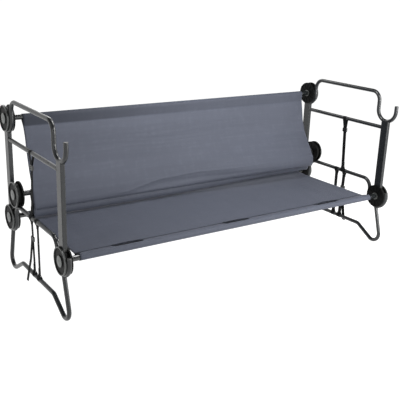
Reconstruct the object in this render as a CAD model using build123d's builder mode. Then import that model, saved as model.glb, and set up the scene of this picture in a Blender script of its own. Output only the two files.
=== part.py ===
# Camping bunk bed, set up as a bench: two stacked end frames at each end, four rails
# that end in grooved discs, a taut seat sling and a slack sling hung as the backrest.
#
# Frame: millimetres, +Z up, +X along the bed, +Y towards the back of the bench.
# The origin is on the floor, under the middle of the bed.

from build123d import *
from math import acos, atan2, cos, degrees, radians, sin, sqrt
import os

# Driving dimensions

frame_x = 1020            # middle of the bed to the plane of each end frame
rail_y = 337              # middle of the bed to each seat rail
seat_rail_z = 297         # floor to the seat rails' centres
top_rail_z = 823          # floor to the top rail's centre

# End frames: bent round tube

tube_d = 22
tube_wall = 1.5
hook_r = 66               # centreline radius of the hooks that cradle the rail discs
hook_rise = 28            # hook centre up to the tube's open end
corner_r = 55
lower_bar_rise = 85       # seat rail centre up to the lower frame's top bar
upper_bar_rise = 97
weld_sink = 3             # how far a coped end reaches up beside the hook's centreline

foot_r = 47
stretcher_z = 79
stretcher_half = 207      # middle of the bed to the stretcher's bend
knee_r = 40

# Upper frame: flat posts and their cross bar

post_depth = 50
post_width = 22
post_wall = 1.5
post_round = 3
cross_bar_d = 22
cross_bar_drop = 106      # top rail centre down to the cross bar

# Plugs in the hooks' open ends and saddles under the posts

plug_head = 5
plug_round = 2
plug_depth = 14
fit_gap = 0.1             # between a plug and the tube that it is pressed into
saddle_lip = 9            # saddle between the disc and the post's end
saddle_depth = 25         # saddle's spigot inside the post

# Rails and the discs on their ends

rail_d = 28
rail_wall = 1.5
running_gap = 0.3         # round what turns or swings
bore_gap = 0.05           # round a tube in its bore
groove_half = 11.5        # the groove that a hook lies in, middle to each flange
disc_r = 67.5
hub_wall = 4
boss_wall = 5
flange_t = 5
lip_w = 6
lip_t = 4.5
lip_round = 1.5
hub_rib_t = 3
hub_rib_count = 6
spigot_depth = 4
cap_r = 27
cap_collar_w = 4
cap_collar_t = 3.5
cap_head_t = 1.5
cap_crown = 1.5
cap_skirt_w = 2
rail_end_inset = 1        # rail end inside the disc's outer face
boss_ring_w = 7
boss_ring_t = 4.5
face_rib_t = 2.5
face_rib_h = 2.5
face_rim_w = 5.5
face_rib_count = 12

# Joint in the middle of each rail: coupler, snap button and its spring

coupler_half = 120
coupler_wall = 1.2
button_x = 60
button_d = 8
button_hole_d = 8.2
button_base_d = 10.5
button_base_t = 1.2
button_base_gap = 0.1
button_dome = 0.4
spring_w = 8
spring_t = 0.8
spring_tail = 32
spring_nose = 10
spring_foot = 4.5

# Slings

cloth_t = 1.5
seam_reach = 52           # rail centre to the seam that closes a sleeve
bight_r_left = 27         # radius of the slack cloth's lower fold at the left end
bight_r_right = 46
sling_end_gap = 54        # ring on a disc's inner flange to the sling's end
back_flat_left = 45.147   # cloth straight down from the mid rail's seam to the lower fold,
back_flat_right = 8.11    # which makes the hung sling as wide as the seat's

# Straps and their sliders

strap_w = 25
strap_t = 1.6
strap_gap = 0.1
upper_strap_y = 18        # straps' places along the end frame, turned round at the right end
buckle_strap_y = 48
plain_strap_y = -20
loop_reach = 62           # tube centre to where a strap's loop closes
strap_lap = 7             # how far the straight webbing runs into each loop's point
tail_top_z = 262
tail_foot_z = 45
tail_lean = 15
tail_start = 3
slider_w = 33
slider_h = 24
slider_t = 9
slider_slot_w = 26
slider_slot_t = 4.4
slider_bar = 5
slider_window_w = 24
slider_round = 1.5
upper_slider_drop = 74    # cross bar down to the upper slider
lower_slider_drop = 112   # lower top bar down to the lower slider

# Worked out from the above

full_turn = 360
tube_r = tube_d / 2
tube_bore_r = tube_r - tube_wall
rail_r = rail_d / 2
rail_bore_r = rail_r - rail_wall
hub_r = hook_r - tube_r - running_gap
hub_bore_r = hub_r - hub_wall
boss_bore_r = rail_r + bore_gap
boss_r = boss_bore_r + boss_wall
flange_out = groove_half + flange_t
rail_half = frame_x + flange_out - rail_end_inset
sling_half_length = frame_x - flange_out - boss_ring_t - sling_end_gap
post_foot_z = seat_rail_z + hub_r + saddle_lip
post_face_y = rail_y - post_depth / 2
cross_bar_z = top_rail_z - cross_bar_drop
seat_bar_z = seat_rail_z + lower_bar_rise
sleeve_in_r = rail_r + running_gap
sleeve_out_r = sleeve_in_r + cloth_t

# The mid rail's disc leans on the rear post. It swings on the top rail, so it hangs
# just short enough to pass over the bend of the lower frame's top bar.
mid_y = post_face_y - hub_r - running_gap
bend_y = rail_y - hook_r - corner_r
bend_z = seat_bar_z - corner_r
swing_r = sqrt((rail_y - bend_y) ** 2 + (top_rail_z - bend_z) ** 2) - (corner_r + tube_r) - (
    hub_r + running_gap)
mid_z = top_rail_z - sqrt(swing_r ** 2 - (rail_y - mid_y) ** 2)

ends = {"left": -1, "right": 1}
rails = {
    "front_rail": (-rail_y, seat_rail_z),
    "rear_rail": (rail_y, seat_rail_z),
    "top_rail": (rail_y, top_rail_z),
    "mid_rail": (mid_y, mid_z),
}

os.makedirs("parts", exist_ok=True)


def write(part, name):
    """Label a finished piece and write it to its own file."""
    part.label = name
    export_step(part, f"parts/{name}.step")


def touch_angle(centre, radius, point, turn):
    """Angle on a circle, in degrees, where a line from the point just touches it."""
    away_y = point[0] - centre[0]
    away_z = point[1] - centre[1]
    return degrees(atan2(away_z, away_y) + turn * acos(radius / sqrt(away_y ** 2 + away_z ** 2)))


# Lower and upper hook tubes


def hook_tube(x, level, bar_rise):
    """Bent tube: a hook at each end and a level bar between them."""
    with BuildPart() as tube:
        with BuildLine(Plane.YZ.offset(x)):
            end = Line((-rail_y - hook_r, level + hook_rise), (-rail_y - hook_r, level))
            hook = CenterArc((-rail_y, level), hook_r, 180, 180)
            upright_top = (-rail_y + hook_r, level + bar_rise - corner_r)
            Line(hook @ 1, upright_top)
            corner_centre = (-rail_y + hook_r + corner_r, level + bar_rise - corner_r)
            corner = CenterArc(corner_centre, corner_r, 180, -90)
            Line(corner @ 1, (0, level + bar_rise))
            mirror(about=Plane.XZ)
        with BuildSketch(Plane(origin=end @ 0, z_dir=end % 0)):
            Circle(tube_r)
            Circle(tube_bore_r, mode=Mode.SUBTRACT)
        sweep()
    return tube.part


def leg_tube(x):
    """Bent tube under the lower hooks: two loop feet and the stretcher between them."""
    foot = (-rail_y, tube_r + foot_r)
    top = (-rail_y, seat_rail_z - hook_r - weld_sink)
    knee = (-stretcher_half, stretcher_z)
    outer = touch_angle(foot, foot_r, top, 1)
    inner = touch_angle(foot, foot_r, knee, -1) + full_turn
    with BuildPart() as tube:
        with BuildLine(Plane.YZ.offset(x)):
            sole = CenterArc(foot, foot_r, outer, inner - outer)
            leg = Line(top, sole @ 0)
            FilletPolyline(sole @ 1, knee, (0, stretcher_z), radius=knee_r)
            mirror(about=Plane.XZ)
        with BuildSketch(Plane(origin=leg @ 0, z_dir=leg % 0)):
            Circle(tube_r)
            Circle(tube_bore_r, mode=Mode.SUBTRACT)
        sweep()
        for y in (-rail_y, rail_y):
            with Locations(Plane(origin=(x, y, seat_rail_z), z_dir=(1, 0, 0))):
                Torus(hook_r, tube_r, mode=Mode.SUBTRACT)
    return tube.part


def post(x, y):
    """Flat post, coped at the top to the underside of its hook."""
    with BuildPart() as column:
        with BuildSketch(Plane.XY.offset(post_foot_z)):
            with Locations((x, y)):
                RectangleRounded(post_width, post_depth, post_round)
                RectangleRounded(post_width - 2 * post_wall, post_depth - 2 * post_wall,
                                 post_round - post_wall, mode=Mode.SUBTRACT)
        extrude(amount=top_rail_z - hook_r - weld_sink + post_round - post_foot_z)
        with Locations(Plane(origin=(x, y, top_rail_z), z_dir=(1, 0, 0))):
            Torus(hook_r, tube_r, mode=Mode.SUBTRACT)
            Cylinder(hook_r, post_width * 2, mode=Mode.SUBTRACT)
    return column.part


def cross_bar(x):
    """Round tube between the two posts of an upper frame."""
    with BuildPart() as bar:
        with BuildSketch(Plane(origin=(x, -post_face_y, cross_bar_z), z_dir=(0, 1, 0))):
            Circle(cross_bar_d / 2)
            Circle(cross_bar_d / 2 - tube_wall, mode=Mode.SUBTRACT)
        extrude(amount=2 * post_face_y)
    return bar.part


for end, side in ends.items():
    write(hook_tube(side * frame_x, seat_rail_z, lower_bar_rise), f"lower_hook_tube_{end}")
    write(hook_tube(side * frame_x, top_rail_z, upper_bar_rise), f"upper_hook_tube_{end}")
    write(leg_tube(side * frame_x), f"leg_tube_{end}")
    write(post(side * frame_x, -rail_y), f"front_post_{end}")
    write(post(side * frame_x, rail_y), f"rear_post_{end}")
    write(cross_bar(side * frame_x), f"cross_bar_{end}")

# Plugs in the open ends of the hooks

plug_places = [
    (side * frame_x, (rail_y + hook_r) * way, level + hook_rise)
    for side in ends.values()
    for way in (-1, 1)
    for level in (seat_rail_z, top_rail_z)
]
with BuildPart() as plugs:
    with Locations(plug_places):
        Cylinder(tube_r, plug_head, align=(Align.CENTER, Align.CENTER, Align.MIN))
    fillet(plugs.edges().filter_by(GeomType.CIRCLE).group_by(Axis.Z)[-1]
           + plugs.edges().filter_by(GeomType.CIRCLE).group_by(Axis.Z)[-3], plug_round)
    with Locations(plug_places):
        Cylinder(tube_bore_r - fit_gap, plug_depth,
                 align=(Align.CENTER, Align.CENTER, Align.MAX))
write(plugs.part, "hook_plugs")

# Saddles that seat the posts on the lower rails' discs

with BuildPart() as saddles:
    for side in ends.values():
        for y in (-rail_y, rail_y):
            with BuildSketch(Plane.XY.offset(post_foot_z)):
                with Locations((side * frame_x, y)):
                    RectangleRounded(post_width, post_depth, post_round)
            extrude(amount=-(saddle_lip + hub_r - sqrt(hub_r ** 2 - (post_depth / 2) ** 2)))
            with BuildSketch(Plane.XY.offset(post_foot_z)):
                with Locations((side * frame_x, y)):
                    RectangleRounded(post_width - 2 * post_wall - 2 * fit_gap,
                                     post_depth - 2 * post_wall - 2 * fit_gap, post_round)
            extrude(amount=saddle_depth)
            with Locations(Plane(origin=(side * frame_x, y, seat_rail_z), z_dir=(1, 0, 0))):
                Cylinder(hub_r + running_gap, post_width * 2, mode=Mode.SUBTRACT)
write(saddles.part, "post_saddles")

# Disc on a rail's end, drawn about +Z with the groove's middle at the origin and
# the outside of the bed upwards

with BuildPart() as disc:
    with BuildSketch(Plane.XZ):
        with Locations((hub_bore_r, -groove_half)):
            Rectangle(hub_wall, 2 * groove_half, align=(Align.MIN, Align.MIN))
        with Locations((boss_bore_r, groove_half)):
            Rectangle(disc_r - boss_bore_r, flange_t, align=(Align.MIN, Align.MIN))
        with Locations((boss_bore_r, -groove_half)):
            Rectangle(boss_wall, 2 * groove_half, align=(Align.MIN, Align.MIN))
        with Locations((disc_r - lip_w, flange_out)):
            Rectangle(lip_w, lip_t, align=(Align.MIN, Align.MIN))
        with Locations((cap_r - cap_collar_w, flange_out)):
            Rectangle(cap_collar_w, cap_collar_t, align=(Align.MIN, Align.MIN))
    revolve(axis=Axis.Z)
    fillet(disc.edges().group_by(Axis.Z)[-1], lip_round)
    rib_floor = spigot_depth + fit_gap - groove_half
    with Locations((0, 0, rib_floor)):
        with PolarLocations((boss_r + hub_bore_r) / 2, hub_rib_count):
            Box(hub_bore_r - boss_r + hub_wall / 2, hub_rib_t, groove_half - rib_floor,
                align=(Align.CENTER, Align.CENTER, Align.MIN))

# Ribbed flange that closes the groove on the side towards the bed

with BuildPart() as face:
    with BuildSketch(Plane.XZ):
        with Locations((boss_bore_r, -groove_half)):
            Rectangle(disc_r - boss_bore_r, flange_t, align=(Align.MIN, Align.MAX))
        with Locations((hub_bore_r - fit_gap - hub_wall, -groove_half)):
            Rectangle(hub_wall, spigot_depth, align=(Align.MIN, Align.MIN))
        with Locations((boss_bore_r, -flange_out)):
            Rectangle(boss_ring_w, boss_ring_t, align=(Align.MIN, Align.MAX))
        with Locations((disc_r - face_rim_w, -flange_out)):
            Rectangle(face_rim_w, face_rib_h, align=(Align.MIN, Align.MAX))
    revolve(axis=Axis.Z)
    rib_in = boss_bore_r + boss_ring_w
    rib_out = disc_r - face_rim_w
    with Locations((0, 0, -flange_out)):
        with PolarLocations((rib_in + rib_out) / 2, face_rib_count):
            Box(rib_out - rib_in + face_rim_w / 2, face_rib_t, face_rib_h,
                align=(Align.CENTER, Align.CENTER, Align.MAX))

# Cap over the rail's end, with a skirt pressed into the disc's collar

with BuildPart() as cap:
    head_z = flange_out + cap_collar_t
    skirt_r = cap_r - cap_collar_w - fit_gap
    with BuildSketch(Plane.XZ):
        with BuildLine():
            Line((0, head_z), (cap_r, head_z))
            Line((cap_r, head_z), (cap_r, head_z + cap_head_t))
            SagittaArc((cap_r, head_z + cap_head_t), (-cap_r, head_z + cap_head_t), -cap_crown)
            Line((-cap_r, head_z + cap_head_t), (-cap_r, head_z))
            Line((-cap_r, head_z), (0, head_z))
        make_face()
        with Locations((0, head_z)):
            Rectangle(cap_r, cap_head_t + cap_crown + cap_crown, align=(Align.MAX, Align.MIN),
                      mode=Mode.SUBTRACT)
        with Locations((skirt_r - cap_skirt_w, flange_out)):
            Rectangle(cap_skirt_w, cap_collar_t, align=(Align.MIN, Align.MIN))
    revolve(axis=Axis.Z)


def end_places(y, z):
    """The planes of a rail's two discs, each looking out of the bed."""
    return {end: Plane(origin=(side * frame_x, y, z), x_dir=(0, 1, 0), z_dir=(side, 0, 0)).location
            for end, side in ends.items()}


# Rails

for rail, (y, z) in rails.items():
    for end, side in ends.items():
        with BuildPart() as half:
            with BuildSketch(Plane(origin=(0, y, z), z_dir=(side, 0, 0))):
                Circle(rail_r)
                Circle(rail_bore_r, mode=Mode.SUBTRACT)
            extrude(amount=rail_half)
            if end == "right":
                with Locations((button_x, y, z)):
                    Cylinder(button_hole_d / 2, rail_d,
                             align=(Align.CENTER, Align.CENTER, Align.MAX), mode=Mode.SUBTRACT)
        write(half.part, f"{rail}_tube_{end}")

    coupler_r = rail_bore_r - bore_gap
    coupler_bore_r = coupler_r - coupler_wall
    with BuildPart() as coupler:
        with BuildSketch(Plane(origin=(-coupler_half, y, z), z_dir=(1, 0, 0))):
            Circle(coupler_r)
            Circle(coupler_bore_r, mode=Mode.SUBTRACT)
        extrude(amount=2 * coupler_half)
        with Locations((button_x, y, z)):
            Cylinder(button_hole_d / 2, rail_d,
                     align=(Align.CENTER, Align.CENTER, Align.MAX), mode=Mode.SUBTRACT)
    write(coupler.part, f"{rail}_coupler")

    # The button's base is a disc that lies just off the coupler's curved wall, and its
    # tip is flush with the rail, so that the sleeve slides over it
    base_low = button_base_gap - sqrt(coupler_bore_r ** 2 - (button_base_d / 2) ** 2)
    base_top = base_low + button_base_t
    tip = sqrt(rail_r ** 2 - (button_d / 2) ** 2)
    with BuildPart() as button:
        with Locations((button_x, y, z + base_low)):
            Cylinder(button_base_d / 2, button_base_t,
                     align=(Align.CENTER, Align.CENTER, Align.MIN))
            Cylinder(button_d / 2, tip + base_low,
                     align=(Align.CENTER, Align.CENTER, Align.MAX))
        fillet(button.edges().group_by(Axis.Z)[0], button_dome)
    write(button.part, f"{rail}_button")

    # Hairpin spring: its upper leg bears on the coupler, its lower one on the button
    leg_top = sqrt(coupler_bore_r ** 2 - (spring_w / 2) ** 2) - bore_gap
    outside = leg_top - base_top
    inside = outside - 2 * spring_t
    with BuildPart() as spring:
        with BuildSketch(Plane.XZ.offset(-y)):
            bend_x = button_x - spring_tail
            with Locations((bend_x, z + (leg_top + base_top) / 2)):
                Circle(outside / 2)
                Rectangle(outside, outside, align=(Align.MIN, Align.CENTER))
                Rectangle(spring_tail + spring_nose, outside, align=(Align.MIN, Align.CENTER))
                Circle(inside / 2, mode=Mode.SUBTRACT)
                Rectangle(spring_tail + spring_nose, inside, align=(Align.MIN, Align.CENTER),
                          mode=Mode.SUBTRACT)
            with Locations((button_x + spring_foot, z + base_top)):
                Rectangle(spring_nose, spring_t, align=(Align.MIN, Align.MIN),
                          mode=Mode.SUBTRACT)
        extrude(amount=spring_w / 2, both=True)
    write(spring.part, f"{rail}_button_spring")

    places = end_places(y, z)
    for end, place in places.items():
        write(disc.part.moved(place), f"{rail}_disc_{end}")
    write(Compound(children=[face.part.moved(place) for place in places.values()]),
          f"{rail}_inner_flanges")
    write(Compound(children=[cap.part.moved(place) for place in places.values()]),
          f"{rail}_caps")


# Slings


def sleeve(y, z, heading, turning_r, reach):
    """Outline of a sewn sleeve: round a rail, and drawn together at its seam."""
    open_half = degrees(acos(turning_r / reach))
    seam = (y + reach * cos(radians(heading)), z + reach * sin(radians(heading)))
    with BuildSketch() as outline:
        with BuildLine():
            wrap = CenterArc((y, z), turning_r, heading + open_half, full_turn - 2 * open_half)
            Line(wrap @ 1, seam)
            Line(seam, wrap @ 0)
        make_face()
    return outline.sketch


def sleeve_tube(y, z, heading):
    """Both layers of a sleeve, along the whole sling."""
    with BuildPart() as tube:
        with BuildSketch(Plane.YZ.offset(-sling_half_length)):
            add(sleeve(y, z, heading, sleeve_out_r, seam_reach))
            add(sleeve(y, z, heading, sleeve_in_r, seam_reach * sleeve_in_r / sleeve_out_r),
                mode=Mode.SUBTRACT)
        extrude(amount=2 * sling_half_length)
    return tube.part


seam_lap = cloth_t * seam_reach / sleeve_out_r / 2
with BuildPart() as seat:
    add(sleeve_tube(-rail_y, seat_rail_z, 0))
    add(sleeve_tube(rail_y, seat_rail_z, 180))
    with Locations((0, 0, seat_rail_z)):
        Box(2 * sling_half_length, 2 * (rail_y - seam_reach + seam_lap), cloth_t)
write(seat.part, "seat_sling")


def bight_centre(radius, back_flat):
    """Middle of the slack cloth's lower fold, which hangs below the mid rail's seam."""
    return mid_y - radius, mid_z - seam_reach + seam_lap - back_flat


def front_heading(radius, back_flat):
    """Direction in which the cloth leaves the top rail, in degrees from +Y."""
    return touch_angle(bight_centre(radius, back_flat), radius, (rail_y, top_rail_z), 1) + 90


top_heading = (front_heading(bight_r_left, back_flat_left)
               + front_heading(bight_r_right, back_flat_right)) / 2


def fold_outline(radius, back_flat):
    """Section of the slack cloth between its two seams."""
    centre = bight_centre(radius, back_flat)
    back_z = centre[1] + back_flat
    start = seam_reach - seam_lap
    seam_y = rail_y + start * cos(radians(top_heading))
    seam_z = top_rail_z + start * sin(radians(top_heading))
    touch = touch_angle(centre, radius, (seam_y, seam_z), 1)
    out_y = cos(radians(touch)) * cloth_t / 2
    out_z = sin(radians(touch)) * cloth_t / 2
    with BuildSketch() as outline:
        with BuildLine():
            outer = CenterArc(centre, radius + cloth_t / 2, touch, full_turn - touch)
            inner = CenterArc(centre, radius - cloth_t / 2, touch, full_turn - touch)
            Line((seam_y + out_y, seam_z + out_z), outer @ 0)
            Polyline(outer @ 1, (mid_y + cloth_t / 2, back_z), (mid_y - cloth_t / 2, back_z),
                     inner @ 1)
            Polyline(inner @ 0, (seam_y - out_y, seam_z - out_z),
                     (seam_y + out_y, seam_z + out_z))
        make_face()
    return outline.sketch


with BuildPart() as fold:
    with BuildSketch(Plane.YZ.offset(-sling_half_length)):
        add(fold_outline(bight_r_left, back_flat_left))
    with BuildSketch(Plane.YZ.offset(sling_half_length)):
        add(fold_outline(bight_r_right, back_flat_right))
    loft(ruled=True)

with BuildPart() as backrest:
    add(fold.part)
    add(sleeve_tube(rail_y, top_rail_z, top_heading))
    add(sleeve_tube(mid_y, mid_z, -90))
write(backrest.part, "backrest_sling")

# Straps: looped round the bars of each end frame, edge on to the bed


def strap(x, y, high_z, low_z, high_r, low_r):
    """Webbing from one bar of an end frame down to the next, looped round both."""
    bars = ((high_z, -90, high_r + strap_gap), (low_z, 90, low_r + strap_gap))
    with BuildPart() as webbing:
        with BuildSketch(Plane(origin=(x, y, 0), x_dir=(1, 0, 0), z_dir=(0, -1, 0))):
            for z, heading, inside in bars:
                add(sleeve(0, z, heading, inside + strap_t, loop_reach))
            with Locations((0, (high_z + low_z) / 2)):
                Rectangle(2 * strap_t, high_z - low_z - 2 * loop_reach + 2 * strap_lap)
            for z, heading, inside in bars:
                reach = loop_reach * inside / (inside + strap_t)
                add(sleeve(0, z, heading, inside, reach), mode=Mode.SUBTRACT)
        extrude(amount=strap_w / 2, both=True)
    return webbing.part


def tail(x, y, side):
    """Free end of the lower strap, hanging outside the stretcher."""
    start = side * (strap_t + tail_start)
    foot = side * (tube_r + tail_lean)
    with BuildPart() as webbing:
        with BuildSketch(Plane(origin=(x, y, 0), x_dir=(1, 0, 0), z_dir=(0, -1, 0))):
            with BuildLine():
                Polyline((start, tail_top_z), (start + side * strap_t, tail_top_z),
                         (foot + side * strap_t, tail_foot_z), (foot, tail_foot_z), close=True)
            make_face()
        extrude(amount=strap_w / 2, both=True)
    return webbing.part


def slider(x, y, z):
    """Three-bar slider with the webbing running through it."""
    with BuildPart() as frame:
        with Locations((x, y, z)):
            Box(slider_t, slider_w, slider_h)
        fillet(frame.edges().filter_by(Axis.X), slider_round)
        with Locations((x, y, z)):
            Box(slider_slot_t, slider_slot_w, slider_h, mode=Mode.SUBTRACT)
        window_h = (slider_h - 3 * slider_bar) / 2
        for way in (-1, 1):
            with Locations((x, y, z + way * (slider_bar + window_h) / 2)):
                Box(slider_t, slider_window_w, window_h, mode=Mode.SUBTRACT)
    return frame.part


sliders = []
for end, side in ends.items():
    x = side * frame_x
    upper_y = -side * upper_strap_y
    buckle_y = -side * buckle_strap_y
    plain_y = -side * plain_strap_y
    write(strap(x, upper_y, cross_bar_z, seat_bar_z, cross_bar_d / 2, tube_r),
          f"upper_strap_{end}")
    lower = [strap(x, plain_y, seat_bar_z, stretcher_z, tube_r, tube_r),
             strap(x, buckle_y, seat_bar_z, stretcher_z, tube_r, tube_r),
             tail(x, buckle_y, side)]
    write(Compound(children=lower), f"lower_straps_{end}")
    sliders.append(slider(x, upper_y, cross_bar_z - upper_slider_drop))
    sliders.append(slider(x, buckle_y, seat_bar_z - lower_slider_drop))
write(Compound(children=sliders), "strap_sliders")
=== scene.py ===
# %% [markdown]
# # A camping bunk bed, set up as a bench
# Two steel frames stand at each end, one on the other. Four rails end in grooved discs, and
# the discs hang in the frames' hooks. One sling is stretched flat between two rails as the
# seat, and a second one hangs slack from the top rail as the backrest.
# The frame that is loaded here holds every rigid piece at its real size and place. This
# lesson gives those pieces their finishes, and makes the cloth, the webbing and the threads.

# %% Load the frame
import math

import bmesh
import bpy
import numpy as np
from mathutils import Matrix, Vector


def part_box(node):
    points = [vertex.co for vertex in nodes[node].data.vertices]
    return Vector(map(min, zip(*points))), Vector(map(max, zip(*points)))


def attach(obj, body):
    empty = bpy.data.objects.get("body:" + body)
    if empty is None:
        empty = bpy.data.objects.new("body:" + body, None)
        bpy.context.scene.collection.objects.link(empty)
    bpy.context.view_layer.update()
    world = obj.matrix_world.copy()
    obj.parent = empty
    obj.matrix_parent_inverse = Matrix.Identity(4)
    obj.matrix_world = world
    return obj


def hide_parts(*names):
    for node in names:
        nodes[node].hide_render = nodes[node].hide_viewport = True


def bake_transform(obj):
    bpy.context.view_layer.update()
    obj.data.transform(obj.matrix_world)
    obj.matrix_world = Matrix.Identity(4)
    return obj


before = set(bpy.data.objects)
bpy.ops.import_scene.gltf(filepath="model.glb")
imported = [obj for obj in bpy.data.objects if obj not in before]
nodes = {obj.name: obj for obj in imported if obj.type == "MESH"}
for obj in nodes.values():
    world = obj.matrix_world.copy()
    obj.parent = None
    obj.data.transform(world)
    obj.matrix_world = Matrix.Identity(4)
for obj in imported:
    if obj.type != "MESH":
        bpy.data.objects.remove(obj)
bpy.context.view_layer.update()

mm = 0.001

# %% [markdown]
# ## Read the places from the frame
# Cloth and webbing follow the rails and bars that carry them, so their places are read from
# the frame's own boxes. If the steelwork changes, what hangs on it follows.

# %% Places of the rails and bars


def middle(node):
    """Middle of a node's box."""
    low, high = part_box(node)
    return (low + high) / 2


def half_size(node):
    """Half the size of a node's box."""
    low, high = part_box(node)
    return (high - low) / 2


rear_rail = middle("rear_rail_tube_left")
top_rail = middle("top_rail_tube_left")
mid_rail = middle("mid_rail_tube_left")
rail_y = rear_rail.y
seat_z = rear_rail.z
rail_r = half_size("rear_rail_tube_left").z
frame_x = middle("front_post_right").x
tube_r = half_size("cross_bar_left").x
sling_half = half_size("seat_sling").x
cross_bar_z = middle("cross_bar_left").z
seat_bar_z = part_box("lower_hook_tube_left")[1].z - tube_r
hook_r = seat_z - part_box("lower_hook_tube_left")[0].z - tube_r
stretcher_z = 79 * mm  # middle of the bar between the feet
ends = {"left": -1, "right": 1}
print(f"rails at y {rail_y:.3f} m, seat at z {seat_z:.3f} m, slings {2 * sling_half:.3f} m long")

# %% [markdown]
# ## Camera, light and floor
# The bench was photographed from its front left corner, a little above the top rail. The
# camera stands where the edges of the steelwork line up with the picture. A low lamp and a
# high one light the cloth from the front right, and a lamp above lights the seat. Narrow
# strip lamps draw the bright lines along the tubes, and a lamp behind softens the shade.
# They come first, so that each piece can be seen in its final light once it is made.

# %% Camera
camera_place = Vector((-2.103, -2.993, 1.522))
camera_azimuth = math.radians(34.34)  # from +Y towards +X
camera_dip = math.radians(18.1)
camera_roll = math.radians(1.95)
focal_px = 677.5  # focal length in pixels of the 400 pixel wide picture
picture_px = 400

forward = Vector((math.sin(camera_azimuth) * math.cos(camera_dip),
                  math.cos(camera_azimuth) * math.cos(camera_dip), -math.sin(camera_dip)))
level = Vector((math.cos(camera_azimuth), -math.sin(camera_azimuth), 0))
above = level.cross(forward)
right = math.cos(camera_roll) * level + math.sin(camera_roll) * above
up = math.cos(camera_roll) * above - math.sin(camera_roll) * level


def in_scene(name, data):
    """A new object at the origin, linked to the scene."""
    made = bpy.data.objects.new(name, data)
    bpy.context.scene.collection.objects.link(made)
    return made


camera = in_scene("camera", bpy.data.cameras.new("camera"))
camera.matrix_world = (Matrix.Translation(camera_place)
                       @ Matrix((right, up, -forward)).transposed().to_4x4())
camera.data.lens = camera.data.sensor_width * focal_px / picture_px
bpy.context.scene.camera = camera
print(f"lens {camera.data.lens:.1f} mm")

# %% Lamps
bpy.context.scene.view_settings.view_transform = "Standard"


def softbox(name, place, target, width, height, power):
    """A lamp with a soft rectangular face that looks at a target."""
    light = bpy.data.lights.new(name, "AREA")
    light.shape = "RECTANGLE"
    light.size = width
    light.size_y = height
    light.energy = power
    lamp = in_scene(name, light)
    lamp.location = place
    lamp.rotation_euler = (Vector(target) - Vector(place)).to_track_quat("-Z", "Y").to_euler()
    lamp.visible_camera = False


# name, place, target, width and height in metres, power in watts
lamps = (
    ("key_lamp", (1.15, -2.4, 0.75), (0.5, 0.2, 0.5), 1.0, 0.6, 60),
    ("front_lamp", (1.35, -2.1, 1.9), (0.4, 0.1, 0.4), 1.4, 0.8, 76),
    ("top_lamp", (-0.05, -0.15, 1.9), (0, -0.05, 0.3), 0.7, 0.6, 28),
    ("front_strip", (0.2, -3.4, 2.5), (0, 0, 0.5), 3, 0.15, 9),
    ("left_strip", (-3.0, -1.6, 1.1), (-1.0, -0.1, 0.5), 0.15, 1.8, 10),
    ("left_beam", (-2.8, -0.6, 2.2), (-1.0, -0.1, 0.6), 2.0, 0.12, 6),
    ("back_fill", (0.3, 2.5, 2.6), (0, 0.3, 0.4), 1.6, 1, 36),
    ("right_strip", (2.8, -2.4, 1.3), (1.0, 0, 0.5), 0.2, 1.8, 10))
for lamp in lamps:
    softbox(*lamp)
print(len(lamps), "lamps")

# %% [markdown]
# ## A few small tools for materials
# A material is a tree of nodes. Colours are picked as sRGB hex values, as on any screen, and
# Blender wants linear ones, so one function turns them. Another adds a node, sets it and
# links it, which keeps every recipe below short.

# %% Material tools


def colour(hex_value):
    """Linear colour of an sRGB hex value."""
    shares = [int(hex_value[i:i + 2], 16) / 255 for i in (1, 3, 5)]
    linear = [s / 12.92 if s <= 0.04045 else ((s + 0.055) / 1.055) ** 2.4 for s in shares]
    return (*linear, 1)


def add_node(tree, kind, inputs=None, **settings):
    """Add a node. An input, by name or number, is a value, or a socket or node to link."""
    node = tree.nodes.new(kind)
    for name, value in settings.items():
        setattr(node, name, value)
    for name, value in (inputs or {}).items():
        if isinstance(value, bpy.types.Node):
            value = value.outputs[0]
        if isinstance(value, bpy.types.NodeSocket):
            tree.links.new(value, node.inputs[name])
        else:
            node.inputs[name].default_value = value
    return node


def new_material(name):
    """An empty material and its node tree."""
    material = bpy.data.materials.new(name)
    material.use_nodes = True
    material.node_tree.nodes.clear()
    return material, material.node_tree


def surface(material, tone, rough, more):
    """Give a material one shader with a colour, a roughness and more, and return it."""
    tree = material.node_tree
    shader = add_node(tree, "ShaderNodeBsdfPrincipled", {
        "Base Color": tone, "Roughness": rough, **more})
    add_node(tree, "ShaderNodeOutputMaterial", {"Surface": shader})
    return material


def stored(tree, name):
    """A number that is stored on the mesh."""
    return add_node(tree, "ShaderNodeAttribute", attribute_name=name).outputs["Fac"]


def maths(tree, operation, *values, **settings):
    """A Math node on some values."""
    return add_node(tree, "ShaderNodeMath", dict(enumerate(values)), operation=operation,
                    **settings)


def noise(tree, size, detail=2, stretch=(1, 1, 1), place=None):
    """Noise on the object, or on a place, whose blobs are about a size in metres wide."""
    place = place or add_node(tree, "ShaderNodeTexCoord").outputs["Object"]
    scaled = add_node(tree, "ShaderNodeMapping", {"Vector": place, "Scale": stretch})
    return add_node(tree, "ShaderNodeTexNoise", {
        "Vector": scaled, "Scale": 1 / size, "Detail": detail}).outputs["Fac"]


def ramp(tree, value, low, high, lowest=0, highest=1, **settings):
    """Map a value, from its lowest to its highest, to a range."""
    return add_node(tree, "ShaderNodeMapRange", {
        "Value": value, "From Min": lowest, "From Max": highest, "To Min": low,
        "To Max": high}, **settings)


def mix(tree, share, first, second):
    """Mix two hex colours, or sockets, by a share."""
    pair = [colour(c) if isinstance(c, str) else c for c in (first, second)]
    return add_node(tree, "ShaderNodeMix", {"Factor": share, 6: pair[0], 7: pair[1]},
                    data_type="RGBA").outputs[2]


def bump(tree, height, depth, strength):
    """Bump from a height of 0 to 1 that stands for a real depth in metres."""
    return add_node(tree, "ShaderNodeBump", {
        "Height": height, "Distance": depth, "Strength": strength})


# %% Floor and backdrop


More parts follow.
